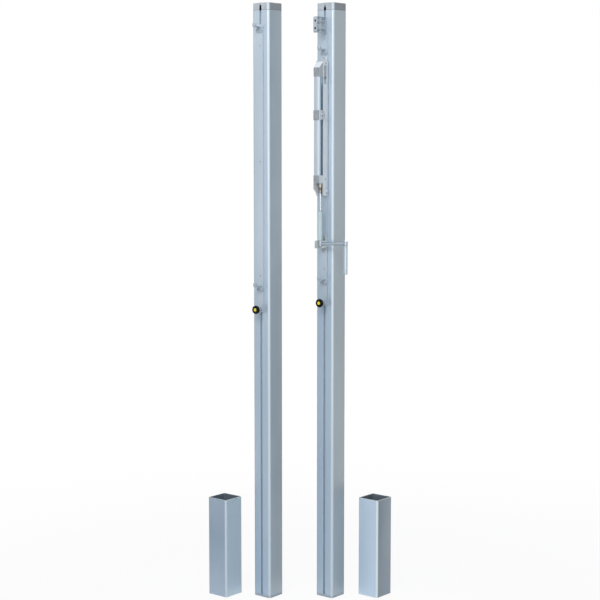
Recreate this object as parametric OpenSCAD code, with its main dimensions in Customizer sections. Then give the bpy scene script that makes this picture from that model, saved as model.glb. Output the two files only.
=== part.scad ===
// Volleyball net post set: a post with a spindle tensioner, a plain post and two ground sleeves.
// The foot of the tensioner post stands at the origin. Its slotted face looks along -Y, +Z is up.
// Depths called h are counted outwards from that slotted face.

/* [Posts] */
// Overall height of each post
post_h = 2847; // [2400:1:3000]
// Width of the square post profile
post_w = 100; // [96:1:103]
// Outer corner radius of the profile
post_r = 10; // [5:0.5:12]
// Wall thickness of the profile
post_wall = 4; // [3.5:0.1:5]
// Height of the cap above the profile
cap_h = 34; // [30:1:45]
// Rounding of the cap's upper edges
cap_edge_r = 3; // [1:0.5:4]
// Height of the foot flange under the profile
foot_h = 12; // [8:1:20]
// Length of cap and foot that is pushed into the profile
plug_depth = 14; // [10:1:25]
// Wall thickness of the plugs
plug_wall = 3; // [2:0.5:5]
// Width of the T-slot's mouth
slot_w = 12; // [11:0.5:13]
// Width of the T-slot's chamber
chamber_w = 26; // [24:1:30]
// Depth of the T-slot's chamber
chamber_d = 9; // [8:0.5:12]

/* [Sliders] */
// Length of the slider bars
slider_len = 1355; // [1300:1:1450]
// Width of the slider bars
bar_w = 38; // [36:1:42]
// Thickness of the slider bars
bar_t = 4.7; // [4:0.1:6]
// Height of the upper end of the tensioner post's slider
winch_slider_top = 2780; // [2700:1:2790]
// Height of the upper end of the plain post's slider
plain_slider_top = 2748; // [2700:1:2790]
// Length of a guide shoe
shoe_len = 44; // [30:1:60]
// Distance of the first guide shoe from the slider's upper end
shoe_edge = 100; // [80:1:130]
// Distance of the last guide shoe from the slider's lower end
shoe_end = 175; // [160:1:190]
// Distance of the clamp knob from the slider's lower end
knob_edge = 14; // [12:1:25]
// Outer diameter of the star knob
knob_d = 40; // [32:1:44]
// Reach of the knob's front from the post face
knob_reach = 45; // [40:1:55]

/* [Net hooks] */
// Thickness of the hook's flat bar
hook_t = 6; // [5:0.5:8]
// Width of the hook's arm
hook_w = 20; // [16:1:26]
// Width of the hook's base plate
hook_base_w = 36; // [34:1:38]
// Reach of the hook from the post face
hook_reach = 46; // [38:1:60]
// Height of the hook's tip above its arm
hook_tip = 14; // [10:1:20]
// Drop of the tensioner post's upper hook below the slider's top
winch_hook_drop = 150; // [140:1:165]
// Drop of the plain post's upper hook below the slider's top
plain_hook_drop = 14; // [12:1:40]
// Distance of the lower hooks from the slider's lower end
low_hook_edge = 124; // [100:1:135]

/* [Roller bracket] */
// Width of the bracket's frame
bracket_w = 22; // [20:1:30]
// Reach of the bracket from the post face
bracket_reach = 73; // [70:1:80]
// Thickness of the bracket's steel
bracket_t = 4; // [3:0.5:4.5]
// Diameter of the rollers
roller_d = 28; // [26:0.5:29]
// Width of the rollers
roller_w = 20; // [14:0.5:21]
// Diameter of the rope groove's floor
groove_d = 20; // [16:0.5:22]
// Diameter of the roller pins
pin_d = 10; // [8:0.5:12]
// Gap between the two rollers, which the rope runs through
rope_gap = 6; // [5:0.5:8]
// Gap between a roller and the bracket above or below it
roller_gap = 2; // [1:0.5:4]

/* [Tensioner] */
// Drop of the channel's top below the slider's top
channel_drop = 203; // [200:1:215]
// Distance of the channel's lower end from the slider's lower end
channel_edge = 523; // [500:1:540]
// Width of the channel over its walls
channel_w = 44; // [42:1:48]
// Reach of the channel's walls from the post face
channel_reach = 38.5; // [35:0.5:40]
// Thickness of the channel's walls
channel_t = 4; // [3:0.5:4.5]
// Length of the fixing tab above the channel
tab_len = 26; // [24:1:28]
// Reach of the bearing blocks from the post face
block_reach = 62.4; // [60:0.2:70]
// Height of the upper bearing block
top_block_h = 70; // [60:1:80]
// Height of the lower bearing block's body
low_block_h = 38; // [30:1:50]
// Height of the crank bay under the lower bearing block
bay_h = 55; // [52:1:64]
// Size of the sloped corner on the blocks
block_slope = 28; // [20:1:30]
// Distance of the bearing blocks from the channel's ends
block_edge = 3; // [2:0.5:6]
// Distance of the spindle's axis from the post face
spindle_h = 32; // [31:0.5:33]
// Diameter of the spindle
spindle_d = 16; // [14:0.5:18]
// Diameter of the spindle's journals
journal_d = 12; // [10:0.5:13]
// Diameter of the spindle nut
nut_d = 24; // [22:0.5:25]
// Width of the guide rail
rail_w = 33.5; // [26:0.5:34]
// Depth of the guide rail
rail_d = 14; // [12:0.5:14.5]
// Reach of the guide rail from the post face
rail_reach = 61.5; // [60:0.5:62.5]
// Height of the carriage
carriage_h = 45; // [36:1:60]
// Drop of the carriage's middle below the channel's top
carriage_drop = 252; // [150:1:430]

/* [Crank] */
// Diameter of the crank's rod
crank_d = 13; // [11:0.5:14]
// Diameter of the crank's arm
arm_d = 16; // [13:0.5:17]
// Length of the crank's arm between rod and handle axes
arm_len = 151.5; // [120:0.5:200]
// Rise of the arm towards the handle, in degrees
arm_rise = 3.7; // [0:0.1:5]
// Distance of the arm from the channel's lower end
arm_drop = 228; // [223:1:236]
// Diameter of the grip tube on the rod
grip_d = 23; // [20:0.5:26]
// Length of the grip tube
grip_len = 137; // [110:1:142]
// Diameter of the handle
handle_d = 19; // [18:0.5:24]
// Length of the handle
handle_len = 130; // [100:1:150]
// Diameter of the ball in the crank's joint
ball_d = 13; // [12:0.5:14]

/* [Crank clip] */
// Height of the clip's cheeks
clip_h = 37; // [32:1:37]
// Reach of the left cheek from the post face
clip_reach = 56; // [50:1:64]
// Gap between the cheeks
clip_gap = 22; // [20:0.5:26]
// Thickness of the clip's steel
clip_t = 4; // [3:0.5:5]

/* [Ground sleeves] */
// Outer width of the sleeves
sleeve_w = 116; // [114:1:130]
// Wall thickness of the sleeves
sleeve_wall = 5; // [3:0.5:5]
// Overall height of the sleeves
sleeve_h = 480; // [300:1:600]
// Outer corner radius of the sleeves
sleeve_r = 8; // [6:0.5:12]
// Thickness of the sleeve's floor plate
floor_t = 5; // [4:0.5:10]
// Diameter of the drain hole
drain_d = 20; // [10:1:30]

/* [Layout] */
// Place of the plain post along X
plain_x = -233; // [-500:1:-160]
// Place of the plain post along Y
plain_y = -192; // [-500:1:-160]
// Place of the left sleeve along X
left_x = -412; // [-800:0.5:-380]
// Place of the left sleeve along Y
left_y = -308.5; // [-800:0.5:-305]
// Place of the right sleeve along X
right_x = 157; // [130:0.5:500]
// Place of the right sleeve along Y
right_y = 150.5; // [130:0.5:500]

/* [Fasteners and fits] */
// Diameter of the fixing screws
screw_d = 6; // [5:0.5:6]
// Diameter of the fixing screws' heads
head_d = 11; // [9:0.5:12]
// Diameter of the clamp stud
stud_d = 8; // [6:0.5:8.5]
// Gap of sliding faces
slide_gap = 0.3; // [0.3:0.05:0.5]
// Radial gap of a shaft in its bore
shaft_gap = 0.08; // [0.02:0.01:0.1]

/* [Hidden] */
$fn = 64;

anodised = [0.70, 0.75, 0.80];
bright = [0.86, 0.89, 0.93];
cast_grey = [0.58, 0.62, 0.66];
steel = [0.72, 0.74, 0.76];
dark_steel = [0.20, 0.21, 0.23];
moulded_grey = [0.56, 0.59, 0.62];
moulded_black = [0.06, 0.06, 0.07];
signal_yellow = [0.98, 0.93, 0.16];
brass = [0.80, 0.76, 0.66];

cut = 1;
face_y = -post_w / 2;
inner_w = post_w - 2 * post_wall;
inner_r = max(post_r - post_wall, 1);
housing_w = chamber_w + 2 * plug_wall;
housing_d = post_wall + chamber_d + plug_wall;
plug_w = inner_w - 2 * slide_gap;
hollow_w = plug_w - 2 * plug_wall;
keyhole_d = slot_w + 1;
keyhole_neck = slot_w / 2;

bar_h = slide_gap + bar_t;
bar_corner = 6;
screw_gap = 0.05;
shoe_last = slider_len - shoe_end;
shoe_drops = [shoe_edge, (shoe_edge + shoe_last) / 2, shoe_last];
shoe_depth = post_wall + chamber_d - 2 * slide_gap;
csk_depth = 3;
csk_d = screw_d + 2 * csk_depth;
head_h = 4;
socket_af = 4;

washer_d = 22;
washer_t = 2;
washer_h = bar_h + washer_t;
knob_head_t = 14;
knob_lobes = 8;
lobe_cut_d = 9;
hub_d = 18;
cover_d = 16;
cover_t = 2.5;
stud_end = post_wall + chamber_d - 2;
stud_reach = knob_reach - knob_head_t;
nut_len = 30;

low_hook_drop = slider_len - low_hook_edge;
hook_bend = 4;
hook_leg = 17;
hook_screw_x = 11;
hook_screw_drop = 15;

pin_gap = roller_d + rope_gap;
bracket_h = pin_gap + roller_d + 2 * (bracket_t + roller_gap);
pin_z = [-(bracket_h - pin_gap) / 2, -(bracket_h + pin_gap) / 2];
pin_recess = 0.5;
pin_h = bracket_reach - pin_recess;
spacer_d = pin_d + 6;
pin_bore = pin_d + 2 * screw_gap;
roller_h = bracket_reach - bracket_t - roller_gap - slide_gap - roller_w / 2;
bracket_base_w = 30;
bracket_corner = 8;

channel_len = slider_len - channel_drop - channel_edge;
channel_z = -channel_drop - channel_len;
base_h = bar_h + channel_t;
bay_w = channel_w - 2 * channel_t;
block_w = bay_w - 2 * slide_gap;
tab_w = 28;
window_w = 20;
window_len = 88;
window_edge = 21;
channel_corner = 6;
top_block_z = -channel_drop - block_edge - top_block_h;
bay_top_z = channel_z + block_edge + bay_h;
low_block_z = bay_top_z + low_block_h;
cheek_t = 5;
bay_back_t = 9;
tenon_len = 12;
tenon_gap = 0.2;
rail_t = 4;
rail_h = rail_reach - rail_d;
rail_crown_r = 70;
washer_gap = 0.3;
thrust_t = 4;
thrust_d = 22;
journal_in = 42;
journal_seat = 9;
carriage_z = -channel_drop - carriage_drop;
tunnel_gap = 0.4;
tunnel_wall = 2;
carriage_w = block_w - 0.4;
carriage_front_w = rail_w + 2 * (tunnel_gap + tunnel_wall);
carriage_step = channel_reach + 1;
carriage_reach = rail_reach + tunnel_gap + tunnel_wall;
carriage_back = base_h + 0.6;
nut_over = 2;
rope_hook_h = carriage_step + 0.7;
rope_screw_h = rail_h - 4;
rope_screw_in = 6;
rope_plate_t = 4;
rope_plate_w = 10;
rope_arm_len = 11;
rope_arm_t = 6;
rope_arm_w = 8;
rope_tip = 16;
rope_tip_t = 5;
channel_screw_edge = 60;
channel_screw_z = [
    -channel_drop + tab_len / 2 + 1,
    top_block_z - channel_screw_edge,
    (top_block_z + low_block_z) / 2,
    low_block_z + channel_screw_edge
];
block_screw_d = 5;
block_screw_in = 8;
block_screw_bore = block_screw_d + 2 * screw_gap;
side_head_d = 9;
side_head_h = 2;

socket_d = 20;
socket_len = 18.5;
ball_gap = 0.3;
ball_over = 1;
dimple_d = 3;
dimple_depth = 2;
socket_top = bay_top_z - 0.4;
ball_z = socket_top - socket_len + ball_over;
neck_d = 6;
neck_len = 9;
neck_cone = 6;
arm_z = channel_z - arm_drop;
arm_end_z = arm_z + arm_len * tan(arm_rise);
eye_d = clip_gap - 2;
eye_over = 12;
eye_under = 10;
rod_eye_over = 17;
grip_z = arm_z + rod_eye_over + slide_gap;
grip_shoulder = 12;
collar_d = 19;
collar_t = 6;
handle_z = arm_end_z - eye_under - handle_len;
cap_t = 6;
clip_base_t = 3;
clip_base_w = 28;
clip_base_l = 78;
clip_point_w = 16;
clip_right_reach = 40;
clip_notch = arm_d + 1.6;
clip_notch_rise = (clip_gap + clip_t) / 2 * tan(arm_rise) + 0.2;
clip_z = arm_z - 2;
rivet_z = [-27, 27];
rivet_d = 8;

// Places what is drawn in a post's own frame on the plain post
module at_plain() {
    translate([plain_x, plain_y, 0]) children();
}

// Puts the slider's upper end on the slotted face of its post
module on_slider(top) {
    translate([0, face_y, top]) children();
}

// Turns a drawing of (x, z) into a plate from depth h0 to depth h1
module front_plate(h0, h1) {
    translate([0, -h0, 0]) rotate([90, 0, 0]) linear_extrude(h1 - h0) children();
}

// Turns a drawing of (h, z) into a piece of the given width across X
module side_piece(width) {
    rotate([90, 0, -90]) translate([0, 0, -width / 2]) linear_extrude(width) children();
}

// Turns a piece drawn along +Z into one that points out of the slotted face, from depth h
module outwards(h, x = 0, z = 0) {
    translate([x, -h, z]) rotate([90, 0, 0]) children();
}

module rounded_rect(w, l, r) {
    square([w - 2 * r, l], center = true);
    square([w, l - 2 * r], center = true);
    for (x = [-1, 1], y = [-1, 1])
        translate([x * (w / 2 - r), y * (l / 2 - r)]) circle(r);
}

module oblong(w, l) {
    square([w, l - w], center = true);
    for (y = [-1, 1])
        translate([0, y * (l - w) / 2]) circle(w / 2);
}

// Posts

module post_section() {
    difference() {
        rounded_rect(post_w, post_w, post_r);
        difference() {
            rounded_rect(inner_w, inner_w, inner_r);
            translate([-housing_w / 2, face_y]) square([housing_w, housing_d]);
        }
        translate([-slot_w / 2, face_y - cut]) square([slot_w, post_wall + 2 * cut]);
        translate([-chamber_w / 2, face_y + post_wall]) square([chamber_w, chamber_d]);
    }
}

module post_profile() {
    translate([0, 0, foot_h]) linear_extrude(post_h - foot_h - cap_h) post_section();
}

module plug_section() {
    difference() {
        rounded_rect(plug_w, plug_w, inner_r);
        rounded_rect(hollow_w, hollow_w, inner_r);
        translate([-housing_w / 2 - slide_gap, -plug_w / 2 - cut])
            square([housing_w + 2 * slide_gap, housing_d]);
    }
}

module cap_outline() {
    translate([-post_w / 2, 0]) square([post_w, cap_h - cap_edge_r]);
    translate([-post_w / 2 + cap_edge_r, 0]) square([post_w - 2 * cap_edge_r, cap_h]);
    for (x = [-1, 1])
        translate([x * (post_w / 2 - cap_edge_r), cap_h - cap_edge_r]) circle(cap_edge_r);
}

module cap_block() {
    intersection() {
        linear_extrude(cap_h) rounded_rect(post_w, post_w, post_r);
        translate([0, -face_y, 0]) rotate([90, 0, 0]) linear_extrude(post_w) cap_outline();
        side_piece(post_w) cap_outline();
    }
}

module plain_cap_slot() {
    translate([-slot_w / 2, -cut]) square([slot_w, cap_h - plug_wall - slot_w + cut]);
    translate([0, cap_h - plug_wall - slot_w]) circle(slot_w / 2);
}

module keyhole() {
    translate([-slot_w / 2, -cut]) square([slot_w, keyhole_d / 2 + cut]);
    translate([0, keyhole_d / 2 + 2]) circle(keyhole_d / 2);
    translate([-keyhole_neck / 2, keyhole_d / 2]) square([keyhole_neck, cap_h - 2 * plug_wall - keyhole_d]);
    translate([0, cap_h - 2 * plug_wall - keyhole_d / 2]) circle(keyhole_neck / 2);
}

// A moulded cap that closes the profile. The drawing given to it is cut through its front wall.
module post_cap() {
    wall = (post_w - hollow_w) / 2;
    translate([0, 0, post_h - cap_h]) {
        difference() {
            cap_block();
            translate([0, 0, -cut]) linear_extrude(cap_h - plug_wall + cut)
                rounded_rect(hollow_w, hollow_w, inner_r);
            translate([0, face_y, 0]) front_plate(-wall - cut, cut) children();
        }
        translate([0, 0, -plug_depth]) linear_extrude(plug_depth) plug_section();
    }
}

module post_foot() {
    linear_extrude(foot_h) rounded_rect(post_w, post_w, post_r);
    translate([0, 0, foot_h]) linear_extrude(plug_depth) plug_section();
}

// Sliders

module screw_hole() {
    cylinder(d = screw_d + 2 * screw_gap, h = 3 * bar_t, center = true);
}

module countersink() {
    translate([0, 0, -csk_depth]) cylinder(d1 = screw_d, d2 = csk_d, h = csk_depth);
    translate([0, 0, -cut / 1000]) cylinder(d = csk_d, h = cut);
}

// A bar with screw holes at the given (x, z) places
module slider_bar(places) {
    difference() {
        translate([0, 0, -slider_len / 2])
            front_plate(slide_gap, bar_h) rounded_rect(bar_w, slider_len, bar_corner);
        for (z = shoe_drops) {
            outwards(bar_h, 0, -z) screw_hole();
            outwards(bar_h, 0, -z) countersink();
        }
        for (p = places)
            outwards(bar_h, p[0], p[1]) screw_hole();
        outwards(bar_h, 0, -slider_len + knob_edge)
            cylinder(d = stud_d + 2 * shaft_gap, h = 3 * bar_t, center = true);
    }
}

module t_section() {
    neck_w = slot_w - 2 * slide_gap;
    head_w = chamber_w - 4 * slide_gap;
    translate([-neck_w / 2, -slide_gap]) square([neck_w, post_wall + 3 * slide_gap]);
    translate([-head_w / 2, post_wall + slide_gap]) square([head_w, shoe_depth - post_wall - slide_gap]);
}

// A T-shaped block that slides in the groove behind the bar
module t_block(len, z, bore) {
    difference() {
        translate([0, 0, z - len / 2]) linear_extrude(len) t_section();
        outwards(-shoe_depth - cut, 0, z) cylinder(d = bore, h = shoe_depth + 4 * cut);
    }
}

module guide_shoes() {
    for (z = shoe_drops)
        t_block(shoe_len, -z, screw_d + 2 * screw_gap);
}

module clamp_nut() {
    t_block(nut_len, -slider_len + knob_edge, stud_d + 2 * shaft_gap);
}

module hex_socket(depth) {
    translate([0, 0, -depth]) cylinder(d = socket_af / cos(30), h = depth + cut, $fn = 6);
}

module shoe_screws() {
    for (z = shoe_drops)
        difference() {
            union() {
                outwards(-shoe_depth + 2 * slide_gap, 0, -z)
                    cylinder(d = screw_d, h = shoe_depth + bar_h - csk_depth);
                outwards(bar_h - csk_depth, 0, -z) cylinder(d1 = screw_d, d2 = csk_d - 0.2, h = csk_depth);
            }
            outwards(bar_h, 0, -z) hex_socket(2);
        }
}

module button_head(d, h) {
    cylinder(d = d, h = h / 2);
    translate([0, 0, h / 2]) cylinder(d1 = d, d2 = d * 0.7, h = h / 2);
}

// A button screw whose head sits at depth h and whose shank goes through to the bar's back
module button_screw(h, x, z) {
    difference() {
        union() {
            outwards(slide_gap, x, z) cylinder(d = screw_d, h = h - slide_gap);
            outwards(h, x, z) button_head(head_d, head_h);
        }
        outwards(h + head_h, x, z) hex_socket(2.5);
    }
}

// Net hooks

module quarter_bend(r0, r1, turn) {
    rotate(turn) intersection() {
        difference() {
            circle(r1);
            circle(r0);
        }
        square(r1 + cut);
    }
}

// A plate bent outwards and then up: (h, z) drawing with z = 0 at the middle of its arm
module hook_side() {
    half = hook_t / 2;
    tip_h = hook_reach - hook_t;
    out = hook_bend + hook_t;
    translate([bar_h, -hook_leg - half - hook_bend]) square([hook_t, hook_leg]);
    translate([bar_h + out, -half - hook_bend]) quarter_bend(hook_bend, out, 90);
    translate([bar_h + out, -half]) square([tip_h - hook_bend - bar_h - out, hook_t]);
    translate([tip_h - hook_bend, half + hook_bend]) quarter_bend(hook_bend, out, 270);
    translate([tip_h, half + hook_bend]) square([hook_t, hook_tip - hook_bend - half]);
    translate([tip_h + half, hook_tip]) circle(half);
}

module net_hook(drop) {
    base_z = -drop - hook_t / 2 - hook_bend - hook_leg / 2;
    difference() {
        union() {
            translate([0, 0, -drop]) side_piece(hook_w) hook_side();
            translate([0, 0, base_z])
                front_plate(bar_h, bar_h + hook_t) rounded_rect(hook_base_w, hook_leg, 3);
        }
        for (x = [-hook_screw_x, hook_screw_x])
            outwards(bar_h, x, -drop - hook_screw_drop) screw_hole();
    }
}

// (x, z) places of the hooks' screws
function hook_screw_places(drops) = [for (d = drops, s = [-1, 1]) [s * hook_screw_x, -d - hook_screw_drop]];

module hook_screws(drops) {
    for (p = hook_screw_places(drops))
        button_screw(bar_h + hook_t, p[0], p[1]);
}

// Clamp knob

module knob_washer() {
    difference() {
        outwards(bar_h, 0, -slider_len + knob_edge) cylinder(d = washer_d, h = washer_t);
        outwards(bar_h - cut, 0, -slider_len + knob_edge) cylinder(d = stud_d + 1, h = washer_t + 2 * cut);
    }
}

module knob_stud() {
    outwards(-stud_end, 0, -slider_len + knob_edge) cylinder(d = stud_d, h = stud_end + stud_reach);
}

module star(d) {
    difference() {
        circle(d / 2);
        for (i = [0:knob_lobes - 1])
            rotate((i + 0.5) * 360 / knob_lobes)
                translate([d / 2 + lobe_cut_d / 5, 0]) circle(lobe_cut_d / 2);
    }
}

// Half outline of the knob's head, turned about its axis: rounded over in front, bevelled behind
module knob_turning() {
    r = knob_d / 2;
    e = 4;
    square([r - e, knob_head_t]);
    translate([0, e]) square([r, knob_head_t - 2 * e]);
    translate([r - e, knob_head_t - e]) circle(e);
    translate([r - e, e]) circle(e);
}

module star_knob() {
    z = -slider_len + knob_edge;
    hub_h = washer_h + slide_gap;
    difference() {
        union() {
            outwards(knob_reach - knob_head_t, 0, z) intersection() {
                linear_extrude(knob_head_t) star(knob_d);
                rotate_extrude() intersection() {
                    knob_turning();
                    square([knob_d, knob_head_t]);
                }
            }
            outwards(hub_h, 0, z) cylinder(d1 = hub_d, d2 = hub_d + 4, h = knob_reach - knob_head_t - hub_h);
        }
        outwards(hub_h - cut, 0, z)
            cylinder(d = stud_d + 2 * screw_gap, h = stud_reach + slide_gap - hub_h + cut);
        outwards(knob_reach - cover_t + 1, 0, z) cylinder(d = cover_d + 2 * screw_gap, h = cover_t);
    }
}

module knob_cover() {
    outwards(knob_reach - cover_t + 1, 0, -slider_len + knob_edge) {
        cylinder(d = cover_d, h = cover_t / 2);
        translate([0, 0, cover_t / 2]) cylinder(d1 = cover_d, d2 = cover_d - 3, h = cover_t / 2);
    }
}

// Roller bracket

module bracket_frame() {
    reach = bracket_reach - bar_h;
    difference() {
        translate([bar_h, -bracket_h]) square([bracket_corner, bracket_h]);
        translate([bar_h + bracket_t, -bracket_h + bracket_t]) square([reach, bracket_h - 2 * bracket_t]);
    }
    difference() {
        translate([bar_h + reach / 2, -bracket_h / 2]) rounded_rect(reach, bracket_h, bracket_corner);
        translate([bar_h + reach / 2, -bracket_h / 2])
            rounded_rect(reach - 2 * bracket_t, bracket_h - 2 * bracket_t, bracket_corner - bracket_t);
    }
}

module bracket() {
    difference() {
        union() {
            side_piece(bracket_w) bracket_frame();
            translate([0, 0, -bracket_h / 2])
                front_plate(bar_h, bar_h + bracket_t)
                    rounded_rect(bracket_base_w, bracket_h, bracket_corner / 2);
        }
        for (z = pin_z)
            outwards(0, 0, z) cylinder(d = pin_bore, h = bracket_reach + cut);
    }
}

module pins() {
    for (z = pin_z)
        difference() {
            outwards(slide_gap, 0, z) cylinder(d = pin_d, h = pin_h - slide_gap);
            outwards(pin_h, 0, z) hex_socket(4);
        }
}

module ring(outer, inner, len) {
    difference() {
        cylinder(d = outer, h = len);
        translate([0, 0, -cut]) cylinder(d = inner, h = len + 2 * cut);
    }
}

module spacers() {
    back = bar_h + bracket_t;
    front = bracket_reach - bracket_t;
    half = roller_w / 2 + slide_gap;
    for (z = pin_z) {
        outwards(back, 0, z) ring(spacer_d, pin_bore, roller_h - half - back);
        outwards(roller_h + half, 0, z) ring(spacer_d, pin_bore, front - roller_h - half);
    }
}

// A roller with a round rope groove, turning about its pin
module rope_roller(z) {
    r = roller_d / 2;
    depth = (roller_d - groove_d) / 2;
    half = roller_w / 2 - 2;
    groove_r = (half * half + depth * depth) / (2 * depth);
    outwards(roller_h - roller_w / 2, 0, z) rotate_extrude() difference() {
        translate([pin_d / 2 + shaft_gap, 0]) square([r - pin_d / 2 - shaft_gap, roller_w]);
        translate([groove_d / 2 + groove_r, roller_w / 2]) circle(groove_r);
    }
}

// Tensioner

module channel_section() {
    difference() {
        translate([-channel_w / 2, -channel_reach]) square([channel_w, channel_reach - bar_h]);
        translate([-bay_w / 2, -channel_reach - cut]) square([bay_w, channel_reach - base_h + cut]);
    }
}

module channel() {
    difference() {
        union() {
            difference() {
                translate([0, 0, channel_z]) linear_extrude(channel_len) channel_section();
                translate([0, 0, channel_z]) side_piece(channel_w + cut) corner_cut();
            }
            translate([0, 0, -channel_drop]) front_plate(bar_h, base_h) {
                translate([-tab_w / 2, -cut]) square([tab_w, tab_len + cut - tab_w / 2]);
                translate([0, tab_len - tab_w / 2]) circle(tab_w / 2);
            }
        }
        translate([0, 0, -channel_drop - window_edge]) side_piece(channel_w + cut)
            translate([(base_h + channel_reach) / 2, -window_len / 2]) oblong(window_w, window_len);
        for (z = channel_screw_z) {
            outwards(base_h, 0, z) screw_hole();
            outwards(base_h, 0, z) countersink();
        }
        for (p = side_screws())
            translate([0, -p[0], p[1]]) rotate([0, 90, 0])
                cylinder(d = block_screw_bore, h = channel_w + cut, center = true);
    }
}

// The lower front corners of the channel's walls are rounded
module corner_cut() {
    r = channel_corner;
    difference() {
        translate([channel_reach - r, -cut]) square([r + cut, r + cut]);
        translate([channel_reach - r, r]) circle(r);
    }
}

// Channel screws with low heads, so that the carriage passes over them
module screws_of_channel() {
    for (z = channel_screw_z)
        difference() {
            union() {
                outwards(slide_gap, 0, z) cylinder(d = screw_d, h = base_h - csk_depth - slide_gap);
                outwards(base_h - csk_depth, 0, z) cylinder(d1 = screw_d, d2 = csk_d - 0.2, h = csk_depth);
            }
            outwards(base_h, 0, z) hex_socket(2);
        }
}

// (h, z) places of the screws that hold the blocks between the channel's walls
function side_screws() = [
    [base_h + 13, -channel_drop - 10],
    [base_h + 4, channel_z + 14],
    [base_h + 13, bay_top_z + low_block_h / 2]
];

module screws_of_blocks() {
    for (p = side_screws(), s = [-1, 1])
        translate([0, -p[0], p[1]]) rotate([0, 90 * s, 0]) difference() {
            union() {
                translate([0, 0, block_w / 2 - block_screw_in])
                    cylinder(d = block_screw_d, h = (channel_w - block_w) / 2 + block_screw_in);
                translate([0, 0, channel_w / 2]) button_head(side_head_d, side_head_h + 1);
            }
            translate([0, 0, channel_w / 2 + side_head_h + 1]) hex_socket(2);
        }
}

module side_screw_holes() {
    for (p = side_screws(), s = [-1, 1])
        translate([0, -p[0], p[1]]) rotate([0, 90 * s, 0])
            translate([0, 0, block_w / 2 - block_screw_in - cut])
                cylinder(d = block_screw_bore, h = block_screw_in + 2 * cut);
}

// A tenon that reaches as far into the hollow rail as into the block whose end is at z
module tenon(z) {
    w = rail_w - 2 * rail_t - 2 * tenon_gap;
    d = rail_d - rail_t - 2 * tenon_gap;
    translate([-w / 2, -rail_h - tenon_gap - d, z - tenon_len]) cube([w, d, 2 * tenon_len]);
}

module journal_bore(z0, len) {
    translate([0, -spindle_h, z0]) cylinder(d = journal_d + 2 * shaft_gap, h = len);
}

module top_block() {
    z1 = top_block_z + top_block_h;
    difference() {
        union() {
            side_piece(block_w) polygon([
                [base_h, top_block_z], [block_reach, top_block_z], [block_reach, z1 - block_slope],
                [block_reach - block_slope, z1], [base_h, z1]
            ]);
            tenon(top_block_z);
        }
        journal_bore(top_block_z - cut, journal_in + cut + 2);
        side_screw_holes();
    }
}

// The lower block carries a cheek on its left and a web behind, which leave the crank's joint open
module low_block() {
    z0 = bay_top_z - bay_h;
    difference() {
        union() {
            side_piece(block_w) polygon([
                [base_h, bay_top_z], [block_reach, bay_top_z],
                [block_reach, low_block_z], [base_h, low_block_z]
            ]);
            translate([-block_w / 2 + cheek_t / 2, 0, 0]) side_piece(cheek_t) polygon([
                [base_h, z0], [block_reach - block_slope, z0], [block_reach, z0 + block_slope],
                [block_reach, bay_top_z + cut], [base_h, bay_top_z + cut]
            ]);
            side_piece(block_w) polygon([
                [base_h, z0], [base_h + bay_back_t, z0],
                [base_h + bay_back_t, bay_top_z + cut], [base_h, bay_top_z + cut]
            ]);
            tenon(low_block_z);
        }
        journal_bore(bay_top_z - cut, low_block_h + 2 * cut);
        side_screw_holes();
    }
}

module rail_section() {
    difference() {
        intersection() {
            translate([-rail_w / 2, -rail_reach]) square([rail_w, rail_d]);
            translate([0, rail_crown_r - rail_reach]) circle(rail_crown_r);
        }
        translate([-rail_w / 2 + rail_t, -rail_h - rail_d + rail_t])
            square([rail_w - 2 * rail_t, rail_d - rail_t + cut]);
    }
}

module rail() {
    translate([0, 0, low_block_z]) linear_extrude(top_block_z - low_block_z) rail_section();
}

module thrust_rings() {
    for (z = [low_block_z, top_block_z - thrust_t])
        translate([0, -spindle_h, z]) ring(thrust_d, journal_d + 1, thrust_t);
}

module spindle_shaft() {
    z0 = low_block_z + thrust_t + washer_gap;
    z1 = top_block_z - thrust_t - washer_gap;
    translate([0, -spindle_h, 0]) {
        translate([0, 0, z0]) cylinder(d = spindle_d, h = z1 - z0);
        translate([0, 0, socket_top - journal_seat])
            cylinder(d = journal_d, h = top_block_z + journal_in - socket_top + journal_seat);
    }
}

// A round socket on the spindle's lower end, which holds the crank's ball
module socket() {
    translate([0, -spindle_h, socket_top - socket_len]) difference() {
        union() {
            cylinder(d1 = socket_d - 2, d2 = socket_d, h = 1);
            translate([0, 0, 1]) cylinder(d = socket_d, h = socket_len - 3);
            translate([0, 0, socket_len - 2]) cylinder(d1 = socket_d, d2 = socket_d - 4, h = 2);
        }
        translate([0, 0, -cut]) cylinder(d = ball_d + 2 * ball_gap, h = socket_len - journal_seat - 0.5 + cut);
        translate([0, 0, -cut]) cylinder(d = journal_d + 2 * screw_gap, h = socket_len + 2 * cut);
    }
}

// The carriage fills the channel and is wider in front of the channel's walls
module carriage_section() {
    r = 3;
    half = carriage_front_w / 2;
    difference() {
        union() {
            translate([-carriage_w / 2, -carriage_reach + r])
                square([carriage_w, carriage_reach - r - carriage_back]);
            translate([-half, -carriage_reach + r]) square([2 * half, carriage_reach - r - carriage_step]);
            translate([-half + r, -carriage_reach]) square([2 * (half - r), r + cut]);
            for (x = [-1, 1])
                translate([x * (half - r), -carriage_reach + r]) circle(r);
        }
        translate([-rail_w / 2 - tunnel_gap, -rail_reach - tunnel_gap])
            square([rail_w + 2 * tunnel_gap, rail_d + 2 * tunnel_gap]);
        translate([0, -spindle_h]) circle(nut_d / 2 + screw_gap);
    }
}

module carriage_block() {
    difference() {
        translate([0, 0, carriage_z - carriage_h / 2]) linear_extrude(carriage_h) carriage_section();
        for (z = rope_screw_z())
            rope_screw_place(z) translate([0, 0, -rope_screw_in]) cylinder(d = block_screw_bore, h = rope_screw_in + cut);
    }
}

module nut() {
    translate([0, -spindle_h, carriage_z - carriage_h / 2 - nut_over])
        ring(nut_d, spindle_d + 2 * shaft_gap, carriage_h + 2 * nut_over);
}

function rope_screw_z() = [-carriage_h / 2 + 7, carriage_h / 2 - 7];

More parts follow.
